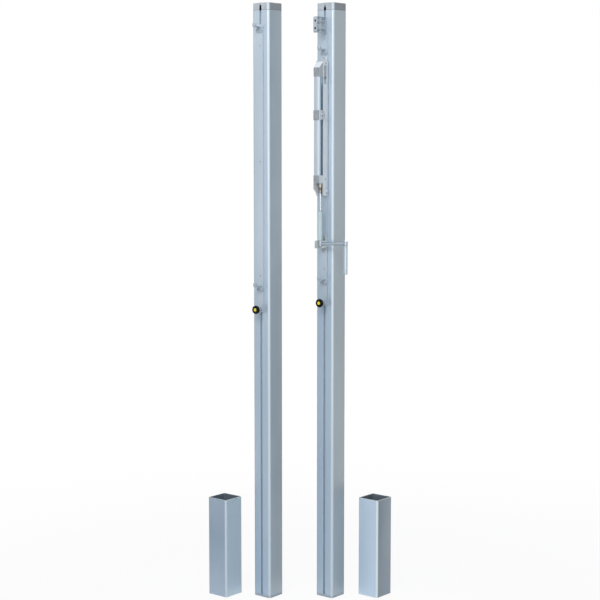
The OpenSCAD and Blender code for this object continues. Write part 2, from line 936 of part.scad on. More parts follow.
module rope_screw_place(z) {
    translate([carriage_front_w / 2, -rope_screw_h, carriage_z + z]) rotate([0, 90, 0]) children();
}

// A steel hook on the carriage's right side. Its mouth opens downwards, because the rope pulls up.
module hook_of_rope() {
    x0 = carriage_front_w / 2;
    y0 = -rope_hook_h - (rope_plate_w + rope_arm_w) / 2;
    difference() {
        union() {
            translate([x0, -rope_hook_h - rope_plate_w, carriage_z - carriage_h / 2 + 1])
                cube([rope_plate_t, rope_plate_w, carriage_h - 2]);
            translate([x0 + rope_plate_t - cut, y0, carriage_z + rope_tip / 2 - rope_arm_t])
                cube([rope_arm_len + cut, rope_arm_w, rope_arm_t]);
            translate([x0 + rope_plate_t + rope_arm_len - rope_tip_t, y0, carriage_z - rope_tip / 2])
                cube([rope_tip_t, rope_arm_w, rope_tip]);
        }
        for (z = rope_screw_z())
            rope_screw_place(z) cylinder(d = block_screw_bore, h = 3 * rope_plate_t, center = true);
    }
}

module screws_of_rope_hook() {
    for (z = rope_screw_z())
        rope_screw_place(z) difference() {
            union() {
                translate([0, 0, -rope_screw_in]) cylinder(d = block_screw_d, h = rope_screw_in + rope_plate_t);
                translate([0, 0, rope_plate_t]) button_head(side_head_d, side_head_h + 1);
            }
            translate([0, 0, rope_plate_t + side_head_h + 1]) hex_socket(2);
        }
}

// Crank

// The ball has a dimple at each end of the axis that the crank tilts about
module ball() {
    translate([0, -spindle_h, ball_z]) difference() {
        sphere(d = ball_d);
        translate([0, 0, -ball_d]) cylinder(d = neck_d + 2 * shaft_gap, h = ball_d + 3.5);
        for (s = [-1, 1])
            rotate([0, 90 * s, 0]) translate([0, 0, ball_d / 2 - dimple_depth])
                cylinder(d = dimple_d, h = dimple_depth + cut);
    }
}

// Rod, arm and handle pin are welded together. The arm leaves the rod towards +X and rises a
// little. It runs between two eyes, and the tubes that turn rest against these.
module bar_of_crank() {
    translate([0, -spindle_h, 0]) {
        translate([0, 0, ball_z - neck_len]) cylinder(d = neck_d, h = neck_len + 3);
        translate([0, 0, ball_z - neck_len - neck_cone]) cylinder(d1 = crank_d, d2 = neck_d, h = neck_cone);
        translate([0, 0, arm_z]) cylinder(d = crank_d, h = ball_z - neck_len - neck_cone - arm_z);
        translate([0, 0, arm_z - eye_under]) cylinder(d = eye_d, h = eye_under + rod_eye_over);
        translate([0, 0, arm_z]) rotate([0, 90 - arm_rise, 0])
            cylinder(d = arm_d, h = arm_len / cos(arm_rise));
        translate([arm_len, 0, arm_end_z - eye_under]) cylinder(d = eye_d, h = eye_under + eye_over);
        translate([arm_len, 0, handle_z - cap_t]) cylinder(d = crank_d, h = arm_end_z - handle_z + cap_t);
    }
}

module collar() {
    translate([0, -spindle_h, grip_z + grip_len + slide_gap])
        ring(collar_d, crank_d + 2 * screw_gap, collar_t);
}

module grip() {
    r = crank_d / 2 + shaft_gap;
    translate([0, -spindle_h, grip_z]) rotate_extrude() polygon([
        [r, 0], [grip_d / 2 - 1, 0], [grip_d / 2, 1], [grip_d / 2, grip_len - grip_shoulder],
        [r + 1.6, grip_len], [r, grip_len]
    ]);
}

module handle() {
    r = crank_d / 2 + shaft_gap;
    len = handle_len - slide_gap;
    translate([arm_len, -spindle_h, handle_z]) rotate_extrude() polygon([
        [r, 0], [handle_d / 2, 0], [handle_d / 2, len - 2], [handle_d / 2 - 2, len], [r, len]
    ]);
}

module end_cap() {
    translate([arm_len, -spindle_h, handle_z - slide_gap - cap_t]) difference() {
        union() {
            cylinder(d1 = handle_d - 4, d2 = handle_d, h = 2);
            translate([0, 0, 2]) cylinder(d = handle_d, h = cap_t - 2);
        }
        translate([0, 0, slide_gap]) cylinder(d = crank_d + 2 * screw_gap, h = cap_t);
    }
}

module clip_base() {
    w = clip_base_w / 2;
    p = clip_point_w / 2;
    l = clip_base_l / 2;
    polygon([[p, l], [w, l - 20], [w, 20 - l], [p, -l], [-p, -l], [-w, 20 - l], [-w, l - 20], [-p, l]]);
}

module cheek_outline(reach) {
    r = 5;
    square([reach - bar_h - r, clip_h]);
    translate([0, r]) square([reach - bar_h, clip_h - 2 * r]);
    for (z = [r, clip_h - r])
        translate([reach - bar_h - r, z]) circle(r);
}

// A clip with two cheeks: a tall one on the left, and a notched one that the crank's arm lies in
module clip() {
    side = clip_gap / 2 + clip_t / 2;
    translate([0, 0, clip_z]) difference() {
        union() {
            front_plate(bar_h, bar_h + clip_base_t) clip_base();
            translate([-side, -bar_h, -clip_h / 2]) side_piece(clip_t) cheek_outline(clip_reach);
            translate([side, -bar_h, -clip_h / 2]) side_piece(clip_t) cheek_outline(clip_right_reach);
        }
        translate([side, -spindle_h, arm_z - clip_z + clip_notch_rise]) {
            rotate([0, 90, 0]) cylinder(d = clip_notch, h = 2 * clip_t, center = true);
            translate([-clip_t, -clip_right_reach, -clip_notch / 2])
                cube([2 * clip_t, clip_right_reach, clip_notch]);
        }
        for (z = rivet_z)
            outwards(bar_h, 0, z) screw_hole();
    }
}

module rivets() {
    for (z = rivet_z)
        translate([0, 0, clip_z]) {
            outwards(slide_gap, 0, z) cylinder(d = screw_d, h = bar_h + clip_base_t - slide_gap);
            outwards(bar_h + clip_base_t, 0, z) cylinder(d1 = rivet_d + 2, d2 = rivet_d - 2, h = 2);
        }
}

// Ground sleeves

module sleeve() {
    translate([0, 0, floor_t]) linear_extrude(sleeve_h - floor_t) difference() {
        rounded_rect(sleeve_w, sleeve_w, sleeve_r);
        rounded_rect(sleeve_w - 2 * sleeve_wall, sleeve_w - 2 * sleeve_wall, sleeve_r - sleeve_wall);
    }
}

module sleeve_floor() {
    linear_extrude(floor_t) difference() {
        rounded_rect(sleeve_w, sleeve_w, sleeve_r);
        circle(drain_d / 2);
    }
}

winch_screws = concat(
    hook_screw_places([winch_hook_drop, low_hook_drop]),
    [for (z = channel_screw_z) [0, z]],
    [for (z = rivet_z) [0, clip_z + z]]
);

module winch_profile() { color(anodised) post_profile(); }
module winch_cap() { color(moulded_grey) post_cap() keyhole(); }
module winch_foot() { color(moulded_grey) post_foot(); }
module winch_slider_bar() {
    color(anodised) on_slider(winch_slider_top) difference() {
        slider_bar(winch_screws);
        for (z = pin_z)
            outwards(bar_h, 0, z) cylinder(d = pin_bore, h = 3 * bar_t, center = true);
    }
}
module winch_guide_shoes() { color(moulded_black) on_slider(winch_slider_top) guide_shoes(); }
module winch_shoe_screws() { color(steel) on_slider(winch_slider_top) shoe_screws(); }
module winch_clamp_nut() { color(steel) on_slider(winch_slider_top) clamp_nut(); }
module winch_hook_upper() { color(steel) on_slider(winch_slider_top) net_hook(winch_hook_drop); }
module winch_hook_lower() { color(steel) on_slider(winch_slider_top) net_hook(low_hook_drop); }
module winch_hook_screws() {
    color(steel) on_slider(winch_slider_top) hook_screws([winch_hook_drop, low_hook_drop]);
}
module winch_knob_washer() { color(steel) on_slider(winch_slider_top) knob_washer(); }
module winch_knob_stud() { color(steel) on_slider(winch_slider_top) knob_stud(); }
module winch_knob() { color(moulded_black) on_slider(winch_slider_top) star_knob(); }
module winch_knob_cover() { color(signal_yellow) on_slider(winch_slider_top) knob_cover(); }
module roller_bracket() { color(bright) on_slider(winch_slider_top) bracket(); }
module roller_pins() { color(dark_steel) on_slider(winch_slider_top) pins(); }
module roller_spacers() { color(steel) on_slider(winch_slider_top) spacers(); }
module roller_upper() { color(moulded_grey) on_slider(winch_slider_top) rope_roller(pin_z[0]); }
module roller_lower() { color(moulded_grey) on_slider(winch_slider_top) rope_roller(pin_z[1]); }
module tensioner_channel() { color(anodised) on_slider(winch_slider_top) channel(); }
module channel_screws() { color(steel) on_slider(winch_slider_top) screws_of_channel(); }
module top_bearing_block() { color(cast_grey) on_slider(winch_slider_top) top_block(); }
module bottom_bearing_block() { color(cast_grey) on_slider(winch_slider_top) low_block(); }
module block_screws() { color(steel) on_slider(winch_slider_top) screws_of_blocks(); }
module guide_rail() { color(bright) on_slider(winch_slider_top) rail(); }
module thrust_washers() { color(brass) on_slider(winch_slider_top) thrust_rings(); }
module spindle() { color(steel) on_slider(winch_slider_top) spindle_shaft(); }
module spindle_socket() { color(brass) on_slider(winch_slider_top) socket(); }
module carriage() { color(cast_grey) on_slider(winch_slider_top) carriage_block(); }
module spindle_nut() { color(brass) on_slider(winch_slider_top) nut(); }
module rope_hook() { color(dark_steel) on_slider(winch_slider_top) hook_of_rope(); }
module rope_hook_screws() { color(steel) on_slider(winch_slider_top) screws_of_rope_hook(); }
module crank_ball() { color(steel) on_slider(winch_slider_top) ball(); }
module crank_bar() { color(steel) on_slider(winch_slider_top) bar_of_crank(); }
module crank_collar() { color(steel) on_slider(winch_slider_top) collar(); }
module crank_grip() { color(moulded_grey) on_slider(winch_slider_top) grip(); }
module crank_handle() { color(bright) on_slider(winch_slider_top) handle(); }
module handle_cap() { color(bright) on_slider(winch_slider_top) end_cap(); }
module crank_clip() { color(cast_grey) on_slider(winch_slider_top) clip(); }
module clip_rivets() { color(steel) on_slider(winch_slider_top) rivets(); }

module plain_profile() { color(anodised) at_plain() post_profile(); }
module plain_cap() { color(moulded_grey) at_plain() post_cap() plain_cap_slot(); }
module plain_foot() { color(moulded_grey) at_plain() post_foot(); }
module plain_slider_bar() {
    color(anodised) at_plain() on_slider(plain_slider_top)
        slider_bar(hook_screw_places([plain_hook_drop, low_hook_drop]));
}
module plain_guide_shoes() { color(moulded_black) at_plain() on_slider(plain_slider_top) guide_shoes(); }
module plain_shoe_screws() { color(steel) at_plain() on_slider(plain_slider_top) shoe_screws(); }
module plain_clamp_nut() { color(steel) at_plain() on_slider(plain_slider_top) clamp_nut(); }
module plain_hook_upper() { color(steel) at_plain() on_slider(plain_slider_top) net_hook(plain_hook_drop); }
module plain_hook_lower() { color(steel) at_plain() on_slider(plain_slider_top) net_hook(low_hook_drop); }
module plain_hook_screws() {
    color(steel) at_plain() on_slider(plain_slider_top) hook_screws([plain_hook_drop, low_hook_drop]);
}
module plain_knob_washer() { color(steel) at_plain() on_slider(plain_slider_top) knob_washer(); }
module plain_knob_stud() { color(steel) at_plain() on_slider(plain_slider_top) knob_stud(); }
module plain_knob() { color(moulded_black) at_plain() on_slider(plain_slider_top) star_knob(); }
module plain_knob_cover() { color(signal_yellow) at_plain() on_slider(plain_slider_top) knob_cover(); }

module sleeve_left() { color(anodised) translate([left_x, left_y, 0]) sleeve(); }
module sleeve_left_floor() { color(anodised) translate([left_x, left_y, 0]) sleeve_floor(); }
module sleeve_right() { color(anodised) translate([right_x, right_y, 0]) sleeve(); }
module sleeve_right_floor() { color(anodised) translate([right_x, right_y, 0]) sleeve_floor(); }

winch_profile();
winch_cap();
winch_foot();
winch_slider_bar();
winch_guide_shoes();
winch_shoe_screws();
winch_clamp_nut();
winch_hook_upper();
winch_hook_lower();
winch_hook_screws();
winch_knob_washer();
winch_knob_stud();
winch_knob();
winch_knob_cover();
roller_bracket();
roller_pins();
roller_spacers();
roller_upper();
roller_lower();
tensioner_channel();
channel_screws();
top_bearing_block();
bottom_bearing_block();
block_screws();
guide_rail();
thrust_washers();
spindle();
spindle_socket();
carriage();
spindle_nut();
rope_hook();
rope_hook_screws();
crank_ball();
crank_bar();
crank_collar();
crank_grip();
crank_handle();
handle_cap();
crank_clip();
clip_rivets();
plain_profile();
plain_cap();
plain_foot();
plain_slider_bar();
plain_guide_shoes();
plain_shoe_screws();
plain_clamp_nut();
plain_hook_upper();
plain_hook_lower();
plain_hook_screws();
plain_knob_washer();
plain_knob_stud();
plain_knob();
plain_knob_cover();
sleeve_left();
sleeve_left_floor();
sleeve_right();
sleeve_right_floor();
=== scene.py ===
import math

import bmesh
import bpy
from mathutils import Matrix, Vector


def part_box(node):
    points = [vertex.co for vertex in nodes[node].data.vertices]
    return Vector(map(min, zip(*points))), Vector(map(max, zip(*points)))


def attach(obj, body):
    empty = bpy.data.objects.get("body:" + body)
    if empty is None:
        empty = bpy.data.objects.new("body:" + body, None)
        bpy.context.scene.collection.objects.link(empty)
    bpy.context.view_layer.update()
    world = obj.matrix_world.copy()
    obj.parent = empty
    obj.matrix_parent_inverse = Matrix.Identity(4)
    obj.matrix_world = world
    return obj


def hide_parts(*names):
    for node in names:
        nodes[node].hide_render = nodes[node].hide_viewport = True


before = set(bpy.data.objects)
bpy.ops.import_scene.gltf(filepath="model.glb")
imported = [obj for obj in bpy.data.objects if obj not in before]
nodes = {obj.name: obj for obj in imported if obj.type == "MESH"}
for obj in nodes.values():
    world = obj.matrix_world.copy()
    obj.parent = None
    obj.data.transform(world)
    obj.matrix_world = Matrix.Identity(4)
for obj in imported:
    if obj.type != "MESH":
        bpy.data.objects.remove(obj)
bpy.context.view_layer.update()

# Camera at the photograph's viewing angle, lengths in metres and the lens in millimetres
VIEW_AZIMUTH = math.radians(39.63)
VIEW_PITCH = math.radians(6.044)
VIEW_DISTANCE = 7.2
VIEW_HEIGHT = 2.2091
VIEW_LENS = 90.65
SENSOR_WIDTH = 36.0
SIGHT_END = 60.0
ROW_POINT = (-0.1151, -0.0941)

cam_data = bpy.data.cameras.new("camera")
cam_data.sensor_width = SENSOR_WIDTH
cam_data.lens = VIEW_LENS
cam_data.clip_end = SIGHT_END
camera = bpy.data.objects.new("camera", cam_data)
camera.location = (
    ROW_POINT[0] + VIEW_DISTANCE * math.sin(VIEW_AZIMUTH),
    ROW_POINT[1] - VIEW_DISTANCE * math.cos(VIEW_AZIMUTH),
    VIEW_HEIGHT,
)
camera.rotation_euler = (math.pi / 2 - VIEW_PITCH, 0.0, VIEW_AZIMUTH)
bpy.context.scene.collection.objects.link(camera)
bpy.context.scene.camera = camera
bpy.context.scene.view_settings.view_transform = "Standard"


# Node helpers. A reach or a result is a pair of ends, and a reach is where an effect starts and is full

WHITE = (1.0, 1.0, 1.0)
EVEN = (1.0, 1.0, 1.0)
FULL = (0.0, 1.0)
BEVEL_SAMPLES = 4
EDGE_TURN = (0.999, 0.85)
# Reach of the painted light and shade on X faces
SIDE_LIGHT_REACH = (0.6, 0.9)
SAWN_END = (0.5, 0.8)
# Reach of the painted highlight on slopes
SLOPE_HIGHLIGHT_REACH = (0.4, 0.9)
# Reach and share of the painted highlight on rounded corners
CORNER_HIGHLIGHT_REACH = (0.02, 0.4)
CORNER_HIGHLIGHT_SHARE = 0.9
SHADED_CORNER = (-0.05, -0.6)
MIDDLE = (0.35, 0.65)
WIDE_MIDDLE = (0.3, 0.7)
SPARSE = (0.66, 0.74)


def darker(color, share):
    return tuple(channel * share for channel in color)


class Nodes:
    """A node tree with a few shorthands for its nodes."""

    def __init__(self, tree):
        self.tree = tree

    def add(self, kind, **settings):
        made = self.tree.nodes.new(kind)
        for key, value in settings.items():
            setattr(made, key, value)
        return made

    def link(self, source, target):
        self.tree.links.new(source, target)

    def span(self, value, reach, result):
        """The value, with its reach stretched over the result."""
        made = self.add("ShaderNodeMapRange")
        for key, number in zip(("From Min", "From Max", "To Min", "To Max"), (*reach, *result)):
            made.inputs[key].default_value = number
        self.link(value, made.inputs["Value"])
        return made.outputs["Result"]

    def math(self, operation, first, second):
        made = self.add("ShaderNodeMath", operation=operation)
        for socket, value in zip(made.inputs, (first, second)):
            if isinstance(value, (int, float)):
                socket.default_value = value
            else:
                self.link(value, socket)
        return made.outputs["Value"]

    def mix(self, factor, first, second):
        made = self.add("ShaderNodeMix", data_type="RGBA")
        for socket, value in ((made.inputs[0], factor), (made.inputs[6], first), (made.inputs[7], second)):
            if isinstance(value, (int, float)):
                socket.default_value = value
            elif isinstance(value, tuple):
                socket.default_value = (*value, 1.0)
            else:
                self.link(value, socket)
        return made.outputs[2]

    def light_source(self, kind, color, strength):
        """A Background or an Emission of one colour."""
        made = self.add(kind)
        made.inputs["Color"].default_value = (*color, 1.0)
        made.inputs["Strength"].default_value = strength
        return made.outputs[0]

    def background_rays(self):
        """1 for the rays that see the background: from the camera, off gloss and through glass."""
        path = self.add("ShaderNodeLightPath").outputs
        reflected = self.math("MAXIMUM", path["Is Glossy Ray"], path["Is Transmission Ray"])
        return self.math("MAXIMUM", path["Is Camera Ray"], reflected)

    def blend(self, share, first, second, output_kind):
        """Two shaders, mixed by the share, as the surface of the output."""
        mixed = self.add("ShaderNodeMixShader")
        for socket, value in zip(mixed.inputs, (share, first, second)):
            self.link(value, socket)
        self.link(mixed.outputs[0], self.add(output_kind).inputs["Surface"])


class Shader(Nodes):
    """A material with one Principled shader and what an object's surface needs."""

    def __init__(self, name, color, metallic=0.0, roughness=0.5):
        self.mat = bpy.data.materials.new(name)
        self.mat.use_nodes = True
        self.mat.diffuse_color = (*color, 1.0)
        super().__init__(self.mat.node_tree)
        self.bsdf = self.tree.nodes["Principled BSDF"]
        self.bsdf.inputs["Base Color"].default_value = (*color, 1.0)
        self.bsdf.inputs["Metallic"].default_value = metallic
        self.bsdf.inputs["Roughness"].default_value = roughness
        self.coord = self.add("ShaderNodeTexCoord").outputs["Object"]

    def noise(self, scale, detail=3.0, stretch=EVEN, distortion=0.0):
        mapping = self.add("ShaderNodeMapping")
        mapping.inputs["Scale"].default_value = stretch
        self.link(self.coord, mapping.inputs["Vector"])
        made = self.add("ShaderNodeTexNoise")
        made.inputs["Scale"].default_value = scale
        made.inputs["Detail"].default_value = detail
        made.inputs["Distortion"].default_value = distortion
        self.link(mapping.outputs["Vector"], made.inputs["Vector"])
        return made.outputs["Fac"]

    def bevel(self, radius):
        made = self.add("ShaderNodeBevel", samples=BEVEL_SAMPLES)
        made.inputs["Radius"].default_value = radius
        return made.outputs["Normal"]

    def edges(self, radius):
        """1 near sharp edges, 0 on flat faces."""
        dot = self.add("ShaderNodeVectorMath", operation="DOT_PRODUCT")
        self.link(self.bevel(radius), dot.inputs[0])
        self.link(self.add("ShaderNodeNewGeometry").outputs["Normal"], dot.inputs[1])
        return self.span(dot.outputs["Value"], EDGE_TURN, FULL)

    def axes(self, vector):
        split = self.add("ShaderNodeSeparateXYZ")
        self.link(vector, split.inputs[0])
        return split.outputs

    def facing(self):
        """The direction of the surface, along the axes of its object."""
        return self.axes(self.add("ShaderNodeTexCoord").outputs["Normal"])

    def faces_along(self, axis):
        """How far the surface faces along an axis, without its sign."""
        return self.math("ABSOLUTE", self.facing()[axis], 0.0)

    def between_faces(self, first, second):
        """1 on a surface at 45 degrees between the faces of two axes, 0 on those faces."""
        both = self.math("MULTIPLY", self.faces_along(first), self.faces_along(second))
        return self.math("MULTIPLY", both, 2.0)

    def corners(self):
        """How far an upright corner faces front right or back left, below 0 for the other two."""
        facing = self.facing()
        return self.math("MULTIPLY", self.math("MULTIPLY", facing["X"], facing["Y"]), -2.0)

    def inside(self, box):
        """1 inside a box, given as the low and high ends for some of the axes."""
        share = 1.0
        for axis, (low, high) in box.items():
            place = self.axes(self.coord)[axis]
            for operation, end in (("GREATER_THAN", low), ("LESS_THAN", high)):
                share = self.math("MULTIPLY", share, self.math(operation, place, end))
        return share

    def worn(self, tone, color, radius, share):
        """The tone with a share of the colour along its edges."""
        return self.mix(self.math("MULTIPLY", self.edges(radius), share), tone, color)

    def paint_side_light(self, tone, color, share=1.0):
        """The tone with a share of the colour on the X faces: painted light where the colour is lighter,
        painted shade where it is darker.
        """
        return self.mix(self.span(self.faces_along("X"), SIDE_LIGHT_REACH, (0.0, share)), tone, color)

    def paint_corner_highlight(self, tone, color):
        """The tone with the colour as a painted highlight on the front right and back left corners."""
        return self.mix(self.span(self.corners(), CORNER_HIGHLIGHT_REACH, (0.0, CORNER_HIGHLIGHT_SHARE)), tone, color)

    def boxed(self, tone, parts):
        """The tone with each part's colour inside its box."""
        for box, color in parts:
            tone = self.mix(self.inside(box), tone, color)
        return tone

    def uneven(self, pattern, rough, less, more):
        """A roughness that follows a pattern, from less than rough to more than it."""
        return self.span(pattern, WIDE_MIDDLE, (rough - less, rough + more))

    def color(self, value):
        self.link(value, self.bsdf.inputs["Base Color"])

    def roughness(self, value):
        self.link(value, self.bsdf.inputs["Roughness"])

    def relief(self, height, strength, distance, soft_edge):
        bump = self.add("ShaderNodeBump")
        bump.inputs["Strength"].default_value = strength
        bump.inputs["Distance"].default_value = distance
        self.link(height, bump.inputs["Height"])
        self.link(self.bevel(soft_edge), bump.inputs["Normal"])
        self.link(bump.outputs["Normal"], self.bsdf.inputs["Normal"])


# Kinds of surface. Shares say how much of a colour a pattern brings in

COATED = 0.3
DIE_LINES = {"scale": 900.0, "detail": 2.0, "stretch": (1.0, 1.0, 0.004)}
CLOUDS = {"scale": 3.0, "detail": 2.0, "stretch": (1.0, 1.0, 0.35)}
SCUFFS = {"scale": 260.0, "detail": 4.0, "stretch": (1.0, 1.0, 0.12), "distortion": 0.6}
LINE_DARK, LINE_SHARE = 0.2, 0.12
CLOUD_SHARE = 0.35
SCUFF_SHARE = 0.25
SCUFF_POLISH = 0.08
SHADE_DARK, SHADE_SHARE = 0.72, 0.9


def extruded(name, color, bright, rough, edge=0.0012, side_light=None, sawn=None, low=None, parts=(),
             shade=SHADE_SHARE):
    """Anodised aluminium with the die lines of an extrusion along Z, soft clouds and rubbed edges.
    Its front right and back left corners carry a painted highlight, and its front left and back right
    corners painted shade. side_light gives its X faces a colour of their own, painted light where it is
    lighter and painted shade where it is darker, and its sawn ends may have a colour of their own. low is
    the painted light tone that it turns to towards the floor, with the height at which that starts, and
    each of the parts is a box with the colour inside it."""
    s = Shader(name, color, COATED, rough)
    lines = s.noise(**DIE_LINES)
    clouds = s.noise(**CLOUDS)
    scuffs = s.noise(**SCUFFS)
    tone = color
    # A painted light tone that grows towards the floor
    if low:
        low_light_color, height = low
        tone = s.mix(s.span(s.axes(s.coord)["Z"], (0.0, height), (1.0, 0.0)), tone, low_light_color)
    # X faces in the side_light colour, painted light where lighter and painted shade where darker
    if side_light:
        tone = s.paint_side_light(tone, side_light)
    tone = s.mix(s.span(lines, WIDE_MIDDLE, (LINE_SHARE, 0.0)), tone, darker(color, LINE_DARK))
    tone = s.mix(s.span(clouds, MIDDLE, (0.0, CLOUD_SHARE)), tone, bright)
    tone = s.mix(s.span(scuffs, SPARSE, (0.0, SCUFF_SHARE)), tone, bright)
    tone = s.worn(tone, bright, edge, share=0.55)
    # Painted highlight on the front right and back left corners
    tone = s.paint_corner_highlight(tone, bright)
    tone = s.mix(s.span(s.corners(), SHADED_CORNER, (0.0, shade)), tone, darker(color, SHADE_DARK))
    tone = s.boxed(tone, parts)
    if sawn:
        tone = s.mix(s.span(s.faces_along("Z"), SAWN_END, FULL), tone, sawn)
    s.color(tone)
    base = s.uneven(lines, rough, less=0.05, more=0.06)
    s.roughness(s.math("SUBTRACT", base, s.span(scuffs, SPARSE, (0.0, SCUFF_POLISH))))
    s.relief(lines, strength=0.18, distance=0.0002, soft_edge=edge)
    return s.mat


PITS = {"scale": 900.0, "detail": 3.0}
PATCHES = {"scale": 130.0, "detail": 3.0}
PATCH_DARK = 0.74
PIT_REACH, PIT_SHARE = (0.6, 0.75), 0.3
# Share of the painted light on the X faces of castings
CAST_SIDE_LIGHT_SHARE = 0.85
# Colour of the painted highlight on slopes
SLOPE_HIGHLIGHT = (0.78, 0.83, 0.87)


def blasted(name, color, bright, side_light, rough=0.52):
    """Cast aluminium, bead blasted: a fine pitted grain with brighter, machined edges and a painted
    highlight on slopes between its Y and Z faces. Its X faces have a lighter colour of their own as
    painted light."""
    s = Shader(name, color, COATED, rough)
    pits = s.noise(**PITS)
    patches = s.noise(**PATCHES)
    tone = s.mix(s.span(patches, MIDDLE, FULL), darker(color, PATCH_DARK), color)
    # Painted light on the X faces
    tone = s.paint_side_light(tone, side_light, CAST_SIDE_LIGHT_SHARE)
    tone = s.mix(s.span(pits, PIT_REACH, (0.0, PIT_SHARE)), tone, bright)
    # Painted highlight on slopes between the Y and Z faces
    tone = s.mix(s.span(s.between_faces("Y", "Z"), SLOPE_HIGHLIGHT_REACH, FULL), tone, SLOPE_HIGHLIGHT)
    s.color(s.worn(tone, bright, radius=0.0010, share=0.6))
    s.roughness(s.uneven(pits, rough, less=0.07, more=0.07))
    s.relief(pits, strength=0.25, distance=0.0003, soft_edge=0.0008)
    return s.mat


FILM = {"scale": 60.0, "detail": 3.0}
FILM_DARK, FILM_SHARE = 0.86, 0.6
TURNED_EDGE = 0.0006
BRUSHED = (1.0, 1.0, 0.06)
DRAWN = (1.0, 1.0, 0.03)
GROOVED = (1.0, 1.0, 6.0)


def turned(name, color, bright, rough, metallic, stretch=EVEN, scale=700.0, parts=()):
    """Machined or plated metal with fine tool marks along the given stretch.
    Each of the parts is a box with the colour inside it."""
    s = Shader(name, color, metallic, rough)
    marks = s.noise(scale, stretch=stretch)
    film = s.noise(**FILM)
    tone = s.mix(s.span(film, MIDDLE, (0.0, FILM_SHARE)), darker(color, FILM_DARK), color)
    tone = s.worn(tone, bright, TURNED_EDGE, share=0.5)
    s.color(s.boxed(tone, parts))
    s.roughness(s.uneven(marks, rough, less=0.06, more=0.08))
    s.relief(marks, strength=0.12, distance=0.0001, soft_edge=TURNED_EDGE)
    return s.mat


MOTTLE = {"scale": 30.0, "detail": 4.0}
RUB = {"scale": 400.0, "detail": 4.0}
MOTTLE_SHARE = 0.5
RUB_REACH, RUB_SHARE = (0.66, 0.76), 0.3
GRAIN_DEPTH = 0.0003


def moulded(name, color, light, rough=0.5, grain=1100.0, strength=0.2, edge=0.0012, side_light=None,
            corner=None, parts=()):
    """Injection moulded plastic: eroded grain, slight mottling and paler, rubbed edges.
    Its X faces may have a darker colour of their own as painted shade, its front right and back left
    corners a colour of their own as a painted highlight, and each of the parts is a box with the colour
    inside it."""
    s = Shader(name, color, 0.0, rough)
    cells = s.add("ShaderNodeTexVoronoi")
    cells.inputs["Scale"].default_value = grain
    s.link(s.coord, cells.inputs["Vector"])
    mottle = s.noise(**MOTTLE)
    rub = s.noise(**RUB)
    tone = s.mix(s.span(mottle, MIDDLE, (0.0, MOTTLE_SHARE)), color, light)
    tone = s.mix(s.span(rub, RUB_REACH, (0.0, RUB_SHARE)), tone, light)
    tone = s.worn(tone, light, edge, share=0.4)
    # Painted shade on the X faces
    if side_light:
        tone = s.paint_side_light(tone, side_light)
    # Painted highlight on the front right and back left corners
    if corner:
        tone = s.paint_corner_highlight(tone, corner)
    s.color(s.boxed(tone, parts))
    s.roughness(s.uneven(mottle, rough, less=0.06, more=0.08))
    s.relief(cells.outputs["Distance"], strength, GRAIN_DEPTH, edge)
    return s.mat


def dull(look, specular):
    """The same look with less gloss."""
    look.node_tree.nodes["Principled BSDF"].inputs["Specular IOR Level"].default_value = specular
    return look


# Looks of single pieces. Boxes are in metres

SLOT_HALF = 0.0132
SLOT_LIP = 0.0005
SLOT_DEEP = 0.0135
# Painted light inside the T-slot, where it lies in shade
SLOT_PAINTED_LIGHT = (0.66, 0.75, 0.84)
# Painted shade in the cap's deep keyhole
KEYHOLE_PAINTED_SHADE = (0.004, 0.004, 0.006)
# Reach and colour of the painted shadow along the seam between cap and profile
SEAM_REACH = (-0.0005, 0.0024)
SEAM_PAINTED_SHADOW = (0.22, 0.25, 0.29)
SLEEVE_WALL = 0.0045
# Height below which the sleeves turn to a painted light tone
SLEEVE_LOW = 0.30
# Painted shade inside the sleeves
SLEEVE_PAINTED_SHADE = (0.24, 0.29, 0.34)
SLEEVE_RIM = (0.05, 0.06, 0.075)
# Box and colour of the painted light inside the channel, where it lies in shade
CHANNEL_INSIDE = {"X": (-0.0205, 0.0205), "Y": (-0.0880, -0.0540), "Z": (2.056, 2.492)}
CHANNEL_PAINTED_LIGHT = (0.82, 0.92, 1.0)
KNOB_HUB = 0.0160
KNOB_HUB_COLOR = (0.42, 0.50, 0.57)
BAR_BALL = {"Z": (1.9600, 2.1)}
BAR_ARM = {"Z": (1.0, 1.7372)}
BAR_BROWN = (0.36, 0.32, 0.27)
BAR_GREY = (0.40, 0.46, 0.52)


def slot_box(post):
    """The inside of a post's T-slot, behind its front face."""
    low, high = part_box(post + "_profile")
    middle = (low.x + high.x) / 2
    return {"X": (middle - SLOT_HALF, middle + SLOT_HALF), "Y": (low.y + SLOT_LIP, low.y + SLOT_DEEP)}


def post_look(post):
    """A post's profile with painted shade on its X faces, a bluer painted light tone towards the floor and
    painted light in its slot.
    """
    return extruded(
        post + "_anodised", (0.475, 0.57, 0.66), (0.66, 0.75, 0.84), 0.38, side_light=(0.465, 0.545, 0.595),
        low=((0.43, 0.585, 0.745), 2.6), parts=((slot_box(post), SLOT_PAINTED_LIGHT),),
    )


def sleeve_look(name, color, bright, side_light, low_light_color):
    """A ground sleeve with painted shade inside, dark on its sawn rim, and a painted light tone towards
    the floor.
    """
    low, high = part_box(name)
    hollow = {
        "X": (low.x + SLEEVE_WALL, high.x - SLEEVE_WALL),
        "Y": (low.y + SLEEVE_WALL, high.y - SLEEVE_WALL),
    }
    return extruded(
        name, color, bright, 0.38, side_light=side_light, low=(low_light_color, SLEEVE_LOW),
        parts=((hollow, SLEEVE_PAINTED_SHADE),), sawn=SLEEVE_RIM,
    )


